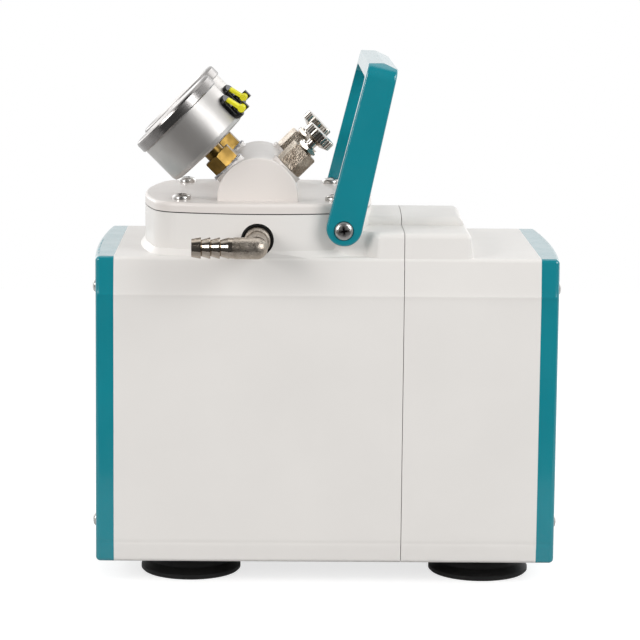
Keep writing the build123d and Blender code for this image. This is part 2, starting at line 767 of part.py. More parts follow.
def gauge_dial():
    """Dial plate with the pin that the pointer turns on."""
    plate = rod(case_diameter / 2 - case_wall, dial_z - dial_thickness, dial_z)
    return plate + rod(gauge_pin / 2, dial_z, dial_z + 2.2)


def gauge_pointer():
    """Pointer with a round hub, resting at the start of a three-quarter turn scale."""
    low = dial_z + fit
    hub = rod(pointer_hub, low, low + 1.3)
    blade = make_face(Polyline((-5.5, -1.3), (0, -0.9), (15.5, -0.15), (15.5, 0.15), (0, 0.9), (-5.5, 1.3),
                               close=True))
    blade = extrude(Pos(0, 0, low) * blade, pointer_thickness)
    return Rot(0, 0, 225) * (hub + blade - rod(gauge_pin / 2 + shaft_fit, low - 1, low + 5))


def vent_place_on_case():
    """Frame of the vent plug: origin on the case's side, X towards the bezel, Z outwards."""
    turn = radians(vent_turn)
    out = (sin(turn), cos(turn), 0)
    radius = case_diameter / 2
    return Plane(origin=(radius * out[0], radius * out[1], gauge_neck_end + vent_place),
                 x_dir=(0, 0, 1), z_dir=out).location


def vent_plug():
    """Rubber filling plug: long oval base with a raised back half and an upright ear for the lever."""
    base = extrude(Pos(0, 0, -2) * SlotOverall(vent_length, vent_width), 2 + vent_height - 1.2)
    block = extrude(Pos(-vent_length / 4, 0, -1) * SlotOverall(vent_length / 2, vent_width - 2.2), 1 + vent_height)
    base = fillet(base.faces().sort_by(Axis.Z)[-1].edges(), 0.6) + fillet(block.faces().sort_by(Axis.Z)[-1].edges(), 0.6)
    ear = box_between((lever_x - 2.1, ear_y - ear_thickness, 0), (lever_x + 2.1, ear_y, lever_z + 2.2))
    plug = base + ear
    plug -= aimed_y(rod(lever_pin / 2 + shaft_fit, -3, 3), lever_x, ear_y, lever_z, 1)
    case = vent_place_on_case().inverse() * rod(case_diameter / 2, 0, 80)
    return plug - case


def vent_lever():
    """Yellow lever: round hub on a pin through the ear, and an arm that lies over the plug."""
    hub_y = ear_y + fit
    hub = aimed_y(rod(lever_hub, 0, lever_width), lever_x, hub_y, lever_z, 1)
    pin = aimed_y(rod(lever_pin / 2, 0, ear_thickness + fit), lever_x, hub_y, lever_z, -1)
    arm = Pos(0, 0, -lever_height / 2) * extrude(
        Pos(lever_length / 2, 0) * SlotOverall(lever_length, lever_width), lever_height)
    arm = fillet(arm.faces().sort_by(Axis.Z)[-1].edges(), 0.5)
    arm = Pos(lever_x, hub_y + lever_width / 2, lever_z) * Rot(0, lever_droop, 0) * arm
    return hub + pin + arm


# ---------------------------------------------------------------- needle valves
def valve_body():
    """Hexagon body of a needle valve, with its thread in the ridge and the bore for the spindle."""
    end = spot_face_radius + valve_hex_length
    body = rod(fitting_thread / 2, fitting_thread_start, spot_face_radius)
    body += Rot(0, 0, valve_turn) * hexagon(valve_hex, spot_face_radius, end) + rod(gland_hex / 2 - 0.7, end, end + 0.9)
    return body - rod(spindle_diameter / 2 + shaft_fit, fitting_thread_start + 3, end + 2)


def gland_nut():
    """Packing nut: hexagon with a round collar on top."""
    low = spot_face_radius + valve_hex_length + 0.9
    high = gland_end
    nut = hexagon(gland_hex, low, high - 0.8) + rod(gland_hex / 2 - 0.5, high - 0.8, high)
    return nut - rod(spindle_diameter / 2 + shaft_fit, low - 1, high + 1)


def valve_spindle():
    """Spindle with its needle point, from inside the valve body into the knob."""
    radius = spindle_diameter / 2
    point = fitting_thread_start + 6
    return turned([(0, point), (0.4, point), (radius, point + 5), (radius, spindle_end), (0, spindle_end)])


def valve_knob():
    """Fluted knob with a coned underside."""
    low = gland_end + knob_gap
    high = low + knob_cone + knob_rim
    radius = knob_diameter / 2
    knob = turned([(0, low), (spindle_diameter / 2 + 1.6, low), (radius - 0.5, low + knob_cone),
                   (radius, low + knob_cone + 0.4), (radius, high - 0.5), (radius - 0.5, high), (0, high)])
    for flute in range(knob_flutes):
        turn = 360 * flute / knob_flutes
        knob -= Rot(0, 0, turn) * Pos(radius + 0.3, 0, high) * Rot(0, 0, 45) * Box(flute_width, flute_width, 20)
    return knob - rod(spindle_diameter / 2 + shaft_fit, low - 1, spindle_end + fit)


# ---------------------------------------------------------------- feet
def rubber_foot():
    """Rubber foot: wide lip on the table, narrower neck, and a well for its screw."""
    return turned([(foot_screw_shank / 2, foot_well), (foot_screw_head / 2 + 1, foot_well),
                   (foot_screw_head / 2 + 1.5, 0), (foot_radius - 0.8, 0), (foot_radius, 0.8),
                   (foot_radius, foot_lip - 0.6), (foot_radius - 0.8, foot_lip),
                   (foot_neck_radius + 1, foot_lip + 2.2), (foot_neck_radius, shell_bottom),
                   (foot_screw_shank / 2, shell_bottom)])


def foot_screws():
    """Screws up through the feet into the housing floor."""
    screw = pan_screw(foot_screw_head, foot_screw_height, foot_screw_shank, shell_bottom - foot_well + 6)
    return [Pos(x, y, foot_well) * Rot(180, 0, 0) * screw for x, y in foot_places]


# ---------------------------------------------------------------- pumping chamber
def valve_plate():
    """Plate between the cover and the diaphragm: coned roof, two ports and a pocket for each reed."""
    low = head_top - plate_thickness
    roof = low + plate_thickness - plate_roof
    plate = turned([(chamber_radius, low), (plate_radius, low), (plate_radius, head_top), (0, head_top),
                    (0, roof), (clamp_radius + crank_throw + 1.5, roof)])
    for side in (-1, 1):
        plate -= Pos(side * reed_x, 0, 0) * rod(plate_port / 2, low, head_top)
    plate -= Pos(-reed_x, 0, 0) * rod(reed_radius, roof, roof + 0.6)
    return Pos(head_x, 0, 0) * plate


def reed_valves():
    """Spring-steel discs: the inlet reed under the plate and the outlet reed on top."""
    roof = head_top - plate_roof
    inlet = Pos(-reed_x, 0, 0) * rod(reed_radius - 0.1, roof + 0.25, roof + 0.6)
    outlet = Pos(reed_x, 0, 0) * rod(reed_radius - 0.1, head_top, head_top + 0.35)
    return [Pos(head_x, 0, 0) * inlet, Pos(head_x, 0, 0) * outlet]


def diaphragm():
    """Rubber diaphragm with its middle drawn down to the end of the stroke."""
    rim = head_top - plate_thickness - diaphragm_thickness
    middle = diaphragm_middle
    return Pos(head_x, 0, 0) * turned(
        [(clamp_stud / 2 + fit, middle), (clamp_radius + 1.5, middle), (chamber_radius - 4, rim),
         (plate_radius, rim), (plate_radius, rim + diaphragm_thickness),
         (chamber_radius - 5, rim + diaphragm_thickness), (clamp_radius + 1, middle + diaphragm_thickness),
         (clamp_stud / 2 + fit, middle + diaphragm_thickness)])


def diaphragm_clamp():
    """Disc on top of the diaphragm, with the stud that goes down into the rod."""
    top = diaphragm_middle + diaphragm_thickness
    disc = turned([(0, top), (clamp_radius - 1, top), (clamp_radius - 0.4, top + 0.4),
                   (clamp_radius - 2.5, top + clamp_thickness), (0, top + clamp_thickness)])
    return Pos(head_x, 0, 0) * (disc + rod(clamp_stud / 2, diaphragm_middle - 12, top))


def connecting_rod():
    """Rod from the crank to the diaphragm: big end, tapered shank and support disc, in one casting."""
    big_end = aimed_x(tube(rod_eye, big_end_outer / 2, -rod_width / 2, rod_width / 2), 0, 0, crank_z)
    foot = crank_z + big_end_outer / 2 + 2
    disc_low = diaphragm_middle - 3.5
    lower = Pos(0, 0, foot) * Rectangle(rod_width - 2, 2 * rod_eye * 0.7)
    upper = Pos(0, 0, disc_low) * Rectangle(rod_width - 2, 16)
    shank = loft([lower.face(), upper.face()])
    disc = turned([(0, disc_low - 4), (8, disc_low - 4), (clamp_radius - 1, disc_low),
                   (clamp_radius, disc_low + 0.5), (clamp_radius, diaphragm_middle), (0, diaphragm_middle)])
    body = big_end + shank + disc
    body -= aimed_x(rod(big_end_outer / 2, -rod_width, rod_width), 0, 0, crank_z)
    return Pos(head_x, 0, 0) * (body - rod(clamp_stud / 2, diaphragm_middle - 12, diaphragm_middle))


def big_end_bearing():
    """Ball bearing in the rod's big end, drawn as one ring."""
    ring = tube(big_end_outer / 2, crank_journal / 2 + shaft_fit, -rod_width / 2, rod_width / 2)
    return aimed_x(ring, head_x, 0, crank_z)


# ---------------------------------------------------------------- motor
def eccentric():
    """Crank on the shaft's end, at the bottom of its stroke, with a counterweight above."""
    journal = aimed_x(rod(crank_journal / 2, -rod_width / 2 - 1, rod_width / 2 + 1), 0, 0, crank_z)
    weight = aimed_x(rod(counterweight_radius, rod_width / 2 + 1, rod_width / 2 + 7), 0, 0, shaft_z)
    weight = weight & box_between((-50, -50, shaft_z - 9), (50, 50, 300))
    body = journal + weight - aimed_x(rod(shaft_diameter / 2, -30, 30), 0, 0, shaft_z)
    return Pos(head_x, 0, 0) * body


def motor_shaft():
    """Shaft from the crank, through both bearings, to the fan."""
    start = head_x - rod_width / 2 - 2
    return aimed_x(rod(shaft_diameter / 2, start, fan_x + fan_width + 2), 0, 0, shaft_z)


def shaft_bearings():
    """The motor's two ball bearings, each drawn as one ring."""
    ring = tube(bearing_outer / 2, shaft_diameter / 2 + shaft_fit, 0, bearing_width)
    return [aimed_x(ring, x, 0, shaft_z) for x in (motor_left_x - 2, motor_right_x - bearing_width)]


def rotor_core():
    """Laminated rotor on the shaft, with the end rings of its cage."""
    core = tube(rotor_radius, shaft_diameter / 2, core_left_x, core_right_x)
    rings = tube(rotor_radius - 2, rotor_radius - 8, core_left_x - 4, core_right_x + 4)
    return aimed_x(core + rings, 0, 0, shaft_z)


def cooling_fan():
    """Radial-bladed fan on the outer end of the shaft."""
    hub = rod(11, 0, fan_width) + rod(20, 0, 1.6)
    for blade in range(fan_blades):
        vane = Pos(fan_radius / 2 + 3, 0, fan_width / 2) * Rot(38, 0, 0) * Box(fan_radius - 8, 1.6, fan_width + 1)
        hub += Rot(0, 0, 360 * blade / fan_blades) * vane
    hub = hub & rod(fan_radius, 0, fan_width)
    return aimed_x(hub - rod(shaft_diameter / 2, -1, fan_width + 1), fan_x, 0, shaft_z)


def stator_core():
    """Laminated stator between the two end bells."""
    core = tube(motor_radius, rotor_radius + air_gap, core_left_x, core_right_x)
    return aimed_x(core, 0, 0, shaft_z)


def stator_windings():
    """Coil heads at the two ends of the stator."""
    coils = []
    for start, stop in ((core_left_x - 8, core_left_x), (core_right_x, core_right_x + 8)):
        coils.append(aimed_x(tube(motor_radius - bell_wall - 2, rotor_radius + 3, start, stop), 0, 0, shaft_z))
    return coils


def end_bell(seat_x, core_x, bearing_start, spigot_end):
    """Motor end cover: flange, skirt up to the stator and the seat of the bearing."""
    low, high = sorted((seat_x, core_x))
    inward = 1 if core_x > seat_x else -1
    flange = sorted((seat_x, seat_x + inward * bell_wall))
    boss = sorted((spigot_end, seat_x + inward * (bearing_width - 1)))
    bell = tube(motor_radius, motor_radius - bell_wall, low, high) + rod(motor_radius, *flange)
    bell += rod(bell_spigot_radius, *boss)
    bell -= rod(bearing_outer / 2, bearing_start, bearing_start + bearing_width)
    return aimed_x(bell - rod(shaft_diameter / 2 + 2, -50, 100), 0, 0, shaft_z)


def motor_end_bells():
    """The bell flanged to the bulkhead and the bell at the fan end."""
    left = end_bell(motor_left_x, core_left_x, motor_left_x - 2, motor_left_x - bulkhead_thickness)
    right = end_bell(motor_right_x, core_right_x, motor_right_x - bearing_width, motor_right_x)
    return [left, right]


def run_capacitor():
    """Motor capacitor lying on the housing floor."""
    can = turned([(0, 0), (capacitor_radius - 1, 0), (capacitor_radius, 1),
                  (capacitor_radius, capacitor_length - 1), (capacitor_radius - 1, capacitor_length),
                  (0, capacitor_length)])
    tabs = [Pos(0, side * 4, capacitor_length) * Box(0.8, 5, 6, align=(Align.CENTER, Align.CENTER, Align.MIN))
            for side in (-1, 1)]
    return Pos(capacitor_x, 0, inside_floor + capacitor_radius) * Rot(0, 90, 0) * (can + tabs)


# ---------------------------------------------------------------- inlet and switch
def power_inlet():
    """Three-pin mains inlet that snaps into the motor-end panel."""
    flange = box_between((inlet_flange_x, -inlet_width / 2 - 3, -inlet_height / 2 - 3),
                         (inlet_flange_x + inlet_flange, inlet_width / 2 + 3, inlet_height / 2 + 3))
    flange = fillet(flange.edges().filter_by(Axis.X), 2.5)
    body = box_between((inlet_flange_x - inlet_depth, -inlet_width / 2, -inlet_height / 2),
                       (inlet_flange_x, inlet_width / 2, inlet_height / 2))
    front = inlet_flange_x + inlet_flange
    mouth = make_face(Polyline((-12, 8), (12, 8), (12, -4), (8, -8), (-8, -8), (-12, -4), close=True))
    shape = flange + body - along_x(mouth, front - socket_depth, front + 1)
    for y, z in ((-7, -2), (0, 2), (7, -2)):
        shape += box_between((front - socket_depth - 1, y - 1, z - 2), (front - pin_sink, y + 1, z + 2))
    return Pos(shell_half_length, inlet_y, inlet_z) * shape


def switch_frame():
    """Frame of the rocker switch, open in front, with holes for the rocker's pins."""
    front = switch_flange_x + switch_flange
    flange = box_between((switch_flange_x, -switch_width / 2 - 3, -switch_height / 2 - 3),
                         (front, switch_width / 2 + 3, switch_height / 2 + 3))
    flange = fillet(flange.edges().filter_by(Axis.X), 1.5)
    body = box_between((switch_flange_x - 14, -switch_width / 2, -switch_height / 2),
                       (switch_flange_x, switch_width / 2, switch_height / 2))
    well = box_between((front - rocker_well, -rocker_width / 2 - fit, -rocker_length / 2 - rocker_room),
                       (front + 1, rocker_width / 2 + fit, rocker_length / 2 + rocker_room))
    shape = flange + body - well
    shape -= aimed_y(rod(rocker_pin / 2 + shaft_fit, -rocker_width / 2 - 1, rocker_width / 2 + 1),
                     front - rocker_pivot, 0, 0, 1)
    return Pos(shell_half_length, switch_y, switch_z) * shape


def switch_rocker():
    """Rocker with a shallow V across its face, resting with its lower half pushed in."""
    half = rocker_length / 2
    rise = half * tan(radians(rocker_tilt))
    front = rocker_pivot
    section = make_face(Polyline((-3, -half), (front + rise, -half), (front, 0), (front + rise, half),
                                 (-3, half), (-4.5, 0), close=True))
    rocker = extrude(Plane.XZ.offset(-rocker_width / 2) * section, rocker_width)
    rocker += aimed_y(rod(rocker_pin / 2, -rocker_width / 2 - 0.9, rocker_width / 2 + 0.9), 0, 0, 0, 1)
    place = Pos(shell_half_length + switch_flange_x + switch_flange - rocker_pivot, switch_y, switch_z)
    return place * Rot(0, -rocker_tilt, 0) * rocker


# ---------------------------------------------------------------- the sub-parts
save("left_shell", left_shell())
save("right_shell", right_shell())
save("left_end_panel", left_end_panel())
save("right_end_panel", right_end_panel())
save("end_panel_screws", *panel_screws())
save("head_cover", head_cover())
save("head_gasket", head_gasket())
save("head_cover_screws", *head_cover_screws())
save("handle", handle())
save("handle_screws", *handle_screws())
save("inlet_elbow", hose_elbow(-1))
save("outlet_elbow", hose_elbow(1))
save("port_seals", *port_seals())
save("fitting_washers", *[fitting_place(y, -1) * fitting_washer() for y in (-fitting_y, fitting_y)])
for name, place_y in (("front", -fitting_y), ("rear", fitting_y)):
    gauge = fitting_place(place_y, -1)
    valve = fitting_place(place_y, 1)
    save(f"{name}_gauge_stem", gauge * gauge_stem())
    save(f"{name}_gauge_case", gauge * gauge_case())
    save(f"{name}_gauge_bezel", gauge * gauge_bezel())
    save(f"{name}_gauge_lens", gauge * gauge_lens())
    save(f"{name}_gauge_dial", gauge * gauge_dial())
    save(f"{name}_gauge_pointer", gauge * gauge_pointer())
    save(f"{name}_vent_plug", gauge * vent_place_on_case() * vent_plug())
    save(f"{name}_vent_lever", gauge * vent_place_on_case() * vent_lever())
    save(f"{name}_valve_body", valve * valve_body())
    save(f"{name}_gland_nut", valve * gland_nut())
    save(f"{name}_valve_spindle", valve * valve_spindle())
    save(f"{name}_valve_knob", valve * valve_knob())
save("rubber_feet", *[Pos(x, y, 0) * rubber_foot() for x, y in foot_places])
save("foot_screws", *foot_screws())
save("valve_plate", valve_plate())
save("reed_valves", *reed_valves())
save("diaphragm", diaphragm())
save("diaphragm_clamp", diaphragm_clamp())
save("connecting_rod", connecting_rod())
save("big_end_bearing", big_end_bearing())
save("eccentric", eccentric())
save("motor_shaft", motor_shaft())
save("shaft_bearings", *shaft_bearings())
save("rotor_core", rotor_core())
save("cooling_fan", cooling_fan())
save("stator_core", stator_core())
save("stator_windings", *stator_windings())
save("motor_end_bells", *motor_end_bells())
save("run_capacitor", run_capacitor())
save("power_inlet", power_inlet())
save("switch_frame", switch_frame())
save("switch_rocker", switch_rocker())
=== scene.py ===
import contextlib
import json
import math
import bpy
from mathutils import Matrix, Vector


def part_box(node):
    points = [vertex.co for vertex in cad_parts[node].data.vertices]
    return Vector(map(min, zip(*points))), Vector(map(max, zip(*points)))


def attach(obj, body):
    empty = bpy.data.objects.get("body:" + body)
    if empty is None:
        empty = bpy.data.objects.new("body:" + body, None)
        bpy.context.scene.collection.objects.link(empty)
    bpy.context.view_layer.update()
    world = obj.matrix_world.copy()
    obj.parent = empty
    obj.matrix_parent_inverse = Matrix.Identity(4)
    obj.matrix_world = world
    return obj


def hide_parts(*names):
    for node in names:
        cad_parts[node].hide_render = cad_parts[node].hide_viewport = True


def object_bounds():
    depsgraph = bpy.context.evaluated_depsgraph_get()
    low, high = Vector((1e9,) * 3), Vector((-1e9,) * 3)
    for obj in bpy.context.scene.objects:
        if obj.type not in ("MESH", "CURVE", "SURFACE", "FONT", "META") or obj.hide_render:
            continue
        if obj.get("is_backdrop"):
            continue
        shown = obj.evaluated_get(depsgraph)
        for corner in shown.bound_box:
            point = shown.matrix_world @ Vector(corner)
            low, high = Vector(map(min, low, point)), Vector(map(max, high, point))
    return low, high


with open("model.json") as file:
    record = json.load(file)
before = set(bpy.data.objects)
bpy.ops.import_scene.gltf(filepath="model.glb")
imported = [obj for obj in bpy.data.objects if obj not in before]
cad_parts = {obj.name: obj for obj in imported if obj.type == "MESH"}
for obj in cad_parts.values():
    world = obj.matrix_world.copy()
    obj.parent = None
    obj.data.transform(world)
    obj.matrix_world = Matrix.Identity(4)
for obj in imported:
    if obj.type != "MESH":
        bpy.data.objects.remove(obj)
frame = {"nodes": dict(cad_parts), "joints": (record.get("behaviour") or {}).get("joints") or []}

cad_low, cad_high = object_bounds()


# ---------------------------------------------------------------- camera
# A long lens a little higher than the pump, tipped slightly down and nearly
# square to its front, so that the level tops show only as slivers.

heading, tip, roll = -1.007, 7.84, 0.565        # degrees
studio = bpy.context.scene
studio.view_settings.view_transform = "Standard"
lens = bpy.data.cameras.new("camera")
lens.lens, lens.sensor_width, lens.shift_y = 141.4, 36.0, -0.10
lens.clip_start, lens.clip_end = 0.05, 30.0
camera = bpy.data.objects.new("camera", lens)
camera.location = (-0.0251, -1.2663, 0.330)
camera.rotation_euler = (Matrix.Rotation(math.radians(heading), 4, "Z")
                         @ Matrix.Rotation(math.radians(90 - tip), 4, "X")
                         @ Matrix.Rotation(math.radians(roll), 4, "Z")).to_euler()
studio.collection.objects.link(camera)
studio.camera = camera


# ---------------------------------------------------------------- table, surround and lamps
# A small white table in a white surround, dark behind the camera as a studio
# is, with a soft box at each side of the camera, two wide ones behind the
# pump, and a weak one overhead.

class Wire:
    """A socket of a material's nodes. Arithmetic on it adds Math nodes."""

    def __init__(self, tree, socket=None):
        self.tree, self.socket = tree, socket

    def node(self, kind, settings={}, sockets={}, out=0):
        """An output of a new node with these settings, and values or links at its sockets."""
        made = self.tree.nodes.new(kind)
        for name, value in settings.items():
            setattr(made, name, value)
        for name, value in sockets.items():
            if isinstance(value, Wire):
                self.tree.links.new(value.socket, made.inputs[name])
            else:
                made.inputs[name].default_value = value
        return Wire(self.tree, made.outputs[out])

    def maths(self, operation, *values):
        """A Math node that works on these values."""
        return self.node("ShaderNodeMath", {"operation": operation}, dict(enumerate(values)))

    def then(self, operation, *others):
        """This value, worked on with others by a Math node."""
        return self.maths(operation, self, *others)

    def __add__(self, other):
        return self.maths("ADD", self, other)

    def __radd__(self, other):
        return self.maths("ADD", other, self)

    def __sub__(self, other):
        return self.maths("SUBTRACT", self, other)

    def __rsub__(self, other):
        return self.maths("SUBTRACT", other, self)

    def __mul__(self, other):
        return self.maths("MULTIPLY", self, other)

    def __rmul__(self, other):
        return self.maths("MULTIPLY", other, self)

    def __truediv__(self, other):
        return self.maths("DIVIDE", self, other)

    def __rtruediv__(self, other):
        return self.maths("DIVIDE", other, self)

    def span(self, low, high, new_low=0.0, new_high=1.0):
        """This value stretched from low..high to new_low..new_high, and held there."""
        return self.node("ShaderNodeMapRange", {"clamp": True},
                         {"Value": self, "From Min": low, "From Max": high,
                          "To Min": new_low, "To Max": new_high})

    def noise_span(self, new_low=0.0, new_high=1.0):
        """Noise, which lies mostly between 0.3 and 0.7, stretched to new_low..new_high."""
        return self.span(0.3, 0.7, new_low, new_high)


def own_place(wire):
    """Where a point lies on its piece, in metres from the shared origin."""
    return wire.node("ShaderNodeTexCoord", out="Object")


def along(vector, axis):
    """The X, Y or Z of a vector."""
    return vector.node("ShaderNodeSeparateXYZ", {}, {"Vector": vector}, axis)


def ray_is(wire, kind):
    """1 for a ray of this kind, and 0 for any other."""
    return wire.node("ShaderNodeLightPath", out="Is " + kind + " Ray")


def seen_directly(wire):
    """1 for what the camera sees, straight or through glass."""
    return (ray_is(wire, "Camera") + ray_is(wire, "Transmission")).then("MINIMUM", 1.0)


def finish_named(name, **fixed):
    """A new material, the Wire that its patterns start from, and its one shader."""
    material = bpy.data.materials.new(name)
    material.use_nodes = True
    shader = material.node_tree.nodes["Principled BSDF"]
    for key, value in fixed.items():
        shader.inputs[key.replace("_", " ")].default_value = value
    return material, Wire(material.node_tree), shader


def feed(shader, sockets):
    """Links a Wire to each of these sockets of a shader."""
    for name, value in sockets.items():
        shader.id_data.links.new(value.socket, shader.inputs[name])


def mixed(mask, first, second):
    """The first colour where the mask is 0, the second where it is 1."""
    factor, colour_a, colour_b, result = 0, 6, 7, 2     # the node's colour sockets, by number
    return mask.node("ShaderNodeMix", {"data_type": "RGBA"},
                     {factor: mask, colour_a: first, colour_b: second}, result)


def added(primitive, name, **place):
    """A new primitive by itself, at the origin with its place in its mesh."""
    bpy.ops.object.select_all(action="DESELECT")
    getattr(bpy.ops.mesh, "primitive_" + primitive + "_add")(**place)
    piece = bpy.context.object
    piece.name = piece.data.name = name
    bpy.ops.object.transform_apply(location=True, rotation=True, scale=True)
    return piece


table_size, table_front, table_drop = 1.2, -0.30, 0.0002
table_glow, painted_table_sheen = 0.72, 0.35            # as seen, and as mirrored in the pump
sheen_from, sheen_full = -0.16, 0.0
table = added("plane", "table_top", size=table_size,
              location=(0, table_front + table_size / 2, cad_low.z - table_drop))
table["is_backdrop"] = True
white_table, wire, shader = finish_named("white_table", Base_Color=(0.45, 0.45, 0.45, 1), Roughness=0.6,
                                         Specular_IOR_Level=0.2, Emission_Strength=1.0)
# In the pump's reflections the table glows, more towards its back: a painted reflection. To the camera the
# glow only makes the table evenly white.
glow = ray_is(wire, "Glossy") * along(own_place(wire), "Y").span(sheen_from, sheen_full, 0.0, painted_table_sheen)
glow = glow.then("MAXIMUM", seen_directly(wire) * table_glow)
feed(shader, {"Emission Color": mixed(glow, (0, 0, 0, 1), (1, 1, 1, 1))})
table.data.materials.append(white_table)

room_mirrored, room_darkening, room_light = 0.95, 0.87, 0.43
turns_dark, darkest = -0.05, 0.30               # how far round towards the camera
world = bpy.data.worlds.new("surround")
studio.world = world
world.use_nodes = True
background = world.node_tree.nodes["Background"]
background.inputs["Color"].default_value = (1, 1, 1, 1)
wire = Wire(world.node_tree)
camera_side = (along(wire.node("ShaderNodeTexCoord", out="Generated"), "Y") * -1).span(turns_dark, darkest)
mirrored = room_mirrored - camera_side * room_darkening
glossy, straight = ray_is(wire, "Glossy"), seen_directly(wire)
plain = 1 - (straight + glossy).then("MINIMUM", 1.0)
feed(background, {"Strength": straight + glossy * mirrored * (1 - straight) + plain * room_light})


pump_middle = Vector((0, 0, 0.14))


def soft_box(name, place, width, height, watts, light=(1, 1, 1)):
    """A lit panel at a place, turned to the middle of the pump."""
    lamp = bpy.data.lights.new(name, "AREA")
    lamp.color = light
    lamp.shape, lamp.size, lamp.size_y, lamp.energy = "RECTANGLE", width, height, watts
    held = bpy.data.objects.new(name, lamp)
    held.location = place
    held.rotation_euler = (pump_middle - Vector(place)).to_track_quat("-Z", "Y").to_euler()
    studio.collection.objects.link(held)


soft_box("right_box", (1.25, -1.05, 0.95), width=0.95, height=1.0, watts=18, light=(0.98, 0.99, 1.0))
soft_box("left_box", (-1.30, -1.20, 0.85), width=0.8, height=0.85, watts=16, light=(1.0, 0.975, 0.965))
soft_box("top_box", (0.0, 0.15, 1.5), width=1.1, height=0.8, watts=1.5)
soft_box("rear_right_box", (1.35, 1.45, 0.85), width=1.7, height=1.5, watts=13)
soft_box("rear_left_box", (-1.35, 1.45, 0.85), width=1.7, height=1.5, watts=13)


# ---------------------------------------------------------------- housing shells
# Two die-cast halves that meet in a fine joint beside the handle, sprayed warm
# white and baked. A thin strip in the joint carries the coat's shaded tone as
# painted shade. The coat has a faint orange peel and a soft gloss.

def tint(red, green, blue):
    """A colour as a screen shows it, 0 to 255, for a socket."""
    def linear(value):
        value /= 255
        return value / 12.92 if value <= 0.04045 else ((value + 0.055) / 1.055) ** 2.4
    return (linear(red), linear(green), linear(blue), 1.0)


def noise(wire, size, detail=2.0, rough=0.5, at=None):
    """Noise with patches about that size, in metres."""
    return wire.node("ShaderNodeTexNoise", {}, {"Vector": at or own_place(wire), "Scale": 1 / size,
                                                "Detail": detail, "Roughness": rough})


def relief(height, metres):
    """Bumps where a height, 0 to 1, stands for so many metres."""
    return height.node("ShaderNodeBump", {}, {"Height": height, "Distance": metres, "Strength": 1.0})


def dress(material, *pieces):
    """Gives CAD nodes, by name, or new pieces this material."""
    for piece in pieces:
        slots = (frame["nodes"][piece] if isinstance(piece, str) else piece).data.materials
        if not slots:
            slots.append(material)
        for place in range(len(slots)):
            slots[place] = material


panel_low, panel_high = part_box("left_end_panel")
foot_fold, shoulder_fold = panel_low.z + 0.0100, panel_high.z - 0.0185
foot_fold_width, shoulder_fold_width, fold_relief = 0.0010, 0.0012, 0.00022


def baked_coat(name, full, shade, gloss, coat, peel=0.000010):
    """Sprayed and baked gloss coat: faint drift of tone, orange peel, uneven gloss, and
    a soft line where each of the two folds runs round the housing."""
    material, wire, shader = finish_named(name, Coat_Roughness=0.08, Coat_Weight=coat)
    drift = noise(wire, 0.05, 3.0).noise_span()
    specks = noise(wire, 0.0009, 1.0).span(0.70, 0.76)
    height = along(own_place(wire), "Z")
    foot = (height - foot_fold) / foot_fold_width
    shoulder = (height - shoulder_fold) / shoulder_fold_width
    folds = 1 / (1 + shoulder * shoulder) - 1 / (1 + foot * foot)
    feed(shader, {"Base Color": mixed(drift * 0.8 + specks * 0.2, full, shade),
                  "Roughness": noise(wire, 0.010, 3.0).noise_span(gloss - 0.03, gloss + 0.05),
                  "Normal": relief(folds * fold_relief + noise(wire, 0.0018, 1.5) * peel, 1.0)})
    return material


white_coat = baked_coat("white_coat", tint(230, 227, 223), tint(226, 223, 219), 0.36, 0.12)
dress(white_coat, "left_shell", "right_shell")


@contextlib.contextmanager
def edited(piece, wanted=lambda item: True, kind="FACE"):
    """Edit mode, with the faces, edges or points selected that wanted says yes to."""
    bpy.context.view_layer.objects.active = piece
    bpy.ops.object.mode_set(mode="EDIT")
    bpy.ops.mesh.select_mode(type=kind)
    bpy.ops.mesh.select_all(action="DESELECT")
    bpy.ops.object.mode_set(mode="OBJECT")
    kinds = {"FACE": piece.data.polygons, "EDGE": piece.data.edges, "VERT": piece.data.vertices}
    for item in kinds[kind]:
        item.select = wanted(item)
    bpy.ops.object.mode_set(mode="EDIT")
    yield
    bpy.ops.object.mode_set(mode="OBJECT")


def turn_outward(piece):
    """Makes every face of a piece point out of it."""
    with edited(piece):
        bpy.ops.mesh.normals_make_consistent(inside=False)


def applied(piece, kind, **settings):
    """Adds a modifier to a piece and applies it."""
    modifier = piece.modifiers.new(kind.lower(), kind)
    for name, value in settings.items():
        setattr(modifier, name, value)
    bpy.context.view_layer.objects.active = piece
    bpy.ops.object.modifier_apply(modifier=modifier.name)


# A thin strip fills the joint, sunk a little, in the white coat's shaded tone: painted shade where the shells
# meet.
shade_strip_width, shade_strip_sunk, shade_strip_depth, shade_strip_corner = 0.00030, 0.00007, 0.0010, 0.0020
near = 0.0001
shells_meet = (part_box("left_shell")[1].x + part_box("right_shell")[0].x) / 2
joint_shade_strip = added("cube", "seam_shade_strip", size=1)
joint_shade_strip.data.transform(Matrix.Translation((shells_meet, 0, (panel_low.z + panel_high.z) / 2))
                      @ Matrix.Diagonal((shade_strip_width, panel_high.y - panel_low.y - 2 * shade_strip_sunk,
                                         panel_high.z - panel_low.z - 2 * shade_strip_sunk, 1)))
with edited(joint_shade_strip):
    for fold in (foot_fold, shoulder_fold):
        bpy.ops.mesh.select_all(action="SELECT")
        bpy.ops.mesh.bisect(plane_co=(0, 0, fold), plane_no=(0, 0, 1))
shade_strip_ends = (panel_low.z + shade_strip_sunk, panel_high.z - shade_strip_sunk)
for level, lean in zip(shade_strip_ends, (0.001, 0.002)):
    with edited(joint_shade_strip, lambda point: abs(point.co.z - level) < near, "VERT"):
        bpy.ops.transform.resize(value=(1, 1 - lean / panel_high.y, 1))
with edited(joint_shade_strip, lambda face: abs(face.normal.x) > 0.9):
    bpy.ops.mesh.delete(type="ONLY_FACE")


def crosses_an_end(edge):
    """Whether an edge runs across the shade strip's width at its top or bottom."""
    start, stop = (joint_shade_strip.data.vertices[end].co for end in edge.vertices)
    at_end = all(min(abs(point.z - level) for level in shade_strip_ends) < near for point in (start, stop))
    return at_end and abs(start.x - stop.x) > near


